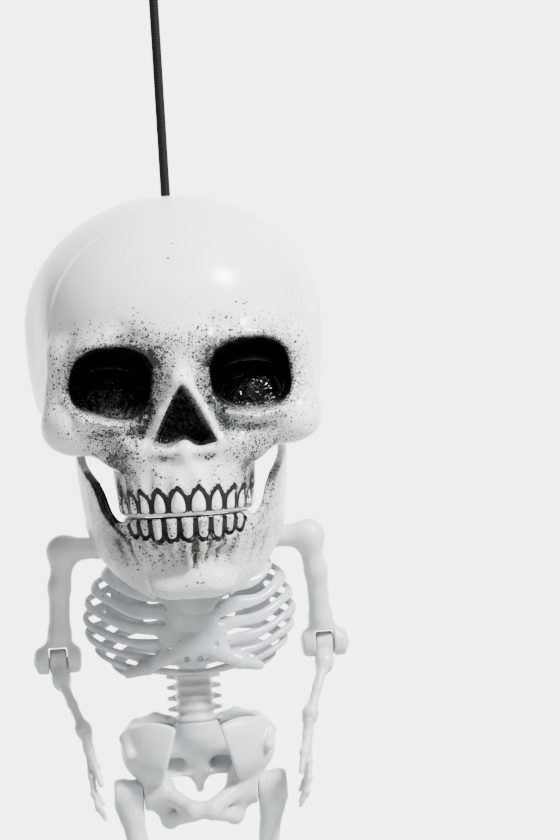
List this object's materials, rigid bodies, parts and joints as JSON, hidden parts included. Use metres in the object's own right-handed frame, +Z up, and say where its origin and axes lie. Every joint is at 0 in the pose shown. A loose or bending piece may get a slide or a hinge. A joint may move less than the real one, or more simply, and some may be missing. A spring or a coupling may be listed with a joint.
{
  "type": "halloween skeleton figure",
  "caption": "Hanging skeleton figure with an oversized skull, an opening jaw, swinging arms and legs, and a black cord loop at the crown.",
  "frame": {"origin": "the hanging point: inside top of the cord's loop", "axes": "+Z up along the cord, the face looks towards -Y, the figure's left is +X"},
  "size_m": [0.1324, 0.1381, 0.5258],
  "materials": {
    "skull_plastic": "glossy, black spray shading round the sockets and nose",
    "skull_base_plastic": "glossy",
    "jaw_plastic": "satin, black ink round the teeth",
    "pin_plastic": "satin",
    "black_cord": "braided",
    "washer_plastic": "matt",
    "body_plastic": "milky satin",
    "rib_plastic": "milky gloss"
  },
  "bodies": {
    "head": {"cranium_shell": "skull_plastic", "skull_base_plate": "skull_base_plastic", "jaw_pin_left": "pin_plastic", "jaw_pin_right": "pin_plastic", "hanging_cord": "black_cord", "cord_loop": "black_cord", "loop_knot": "black_cord", "cord_knot": "black_cord", "cord_washer": "washer_plastic", "neck_peg": "pin_plastic"},
    "jaw": {"mandible": "jaw_plastic"},
    "torso": {"cervical_spine": "body_plastic", "rib_cage_front": "rib_plastic", "rib_cage_back": "rib_plastic", "lumbar_spine": "body_plastic", "pelvis": "body_plastic", "hip_pin_left": "pin_plastic", "hip_pin_right": "pin_plastic"},
    "left_upper_arm": {"upper_arm_left": "body_plastic", "elbow_pin_left": "pin_plastic"},
    "left_forearm": {"forearm_left": "body_plastic", "hand_left": "body_plastic"},
    "left_thigh": {"thigh_left": "body_plastic", "knee_pin_left": "pin_plastic"},
    "left_shin": {"shin_left": "body_plastic", "foot_left": "body_plastic"},
    "right_upper_arm": {"upper_arm_right": "body_plastic", "elbow_pin_right": "pin_plastic"},
    "right_forearm": {"forearm_right": "body_plastic", "hand_right": "body_plastic"},
    "right_thigh": {"thigh_right": "body_plastic", "knee_pin_right": "pin_plastic"},
    "right_shin": {"shin_right": "body_plastic", "foot_right": "body_plastic"}
  },
  "joints": [
    {"name": "jaw_hinge", "type": "hinge", "parent": "head", "child": "jaw", "pos_m": [0, 0, -0.2128], "axis": [1, 0, 0], "range_deg": [0, 12]},
    {"name": "neck_turn", "type": "hinge", "parent": "head", "child": "torso", "pos_m": [0, 0.034, -0.225], "axis": [0, 0, 1], "range_deg": [-4, 4]},
    {"name": "left_shoulder", "type": "hinge", "parent": "torso", "child": "left_upper_arm", "pos_m": [0.03, 0.017, -0.266], "axis": [-1, 0, 0], "range_deg": [-15, 50]},
    {"name": "left_elbow", "type": "hinge", "parent": "left_upper_arm", "child": "left_forearm", "pos_m": [0.056, 0.028, -0.313], "axis": [-1, 0, 0], "range_deg": [-25, 40]},
    {"name": "left_hip", "type": "hinge", "parent": "torso", "child": "left_thigh", "pos_m": [0.03, 0.0205, -0.37], "axis": [-1, 0, 0], "range_deg": [-15, 70]},
    {"name": "left_knee", "type": "hinge", "parent": "left_thigh", "child": "left_shin", "pos_m": [0.02, 0.021, -0.434], "axis": [1, 0, 0], "range_deg": [0, 80]},
    {"name": "right_shoulder", "type": "hinge", "parent": "torso", "child": "right_upper_arm", "pos_m": [-0.03, 0.017, -0.266], "axis": [-1, 0, 0], "range_deg": [-15, 50]},
    {"name": "right_elbow", "type": "hinge", "parent": "right_upper_arm", "child": "right_forearm", "pos_m": [-0.056, 0.028, -0.313], "axis": [-1, 0, 0], "range_deg": [-25, 40]},
    {"name": "right_hip", "type": "hinge", "parent": "torso", "child": "right_thigh", "pos_m": [-0.03, 0.0205, -0.37], "axis": [-1, 0, 0], "range_deg": [-15, 70]},
    {"name": "right_knee", "type": "hinge", "parent": "right_thigh", "child": "right_shin", "pos_m": [-0.02, 0.021, -0.434], "axis": [1, 0, 0], "range_deg": [0, 80]}
  ]
}
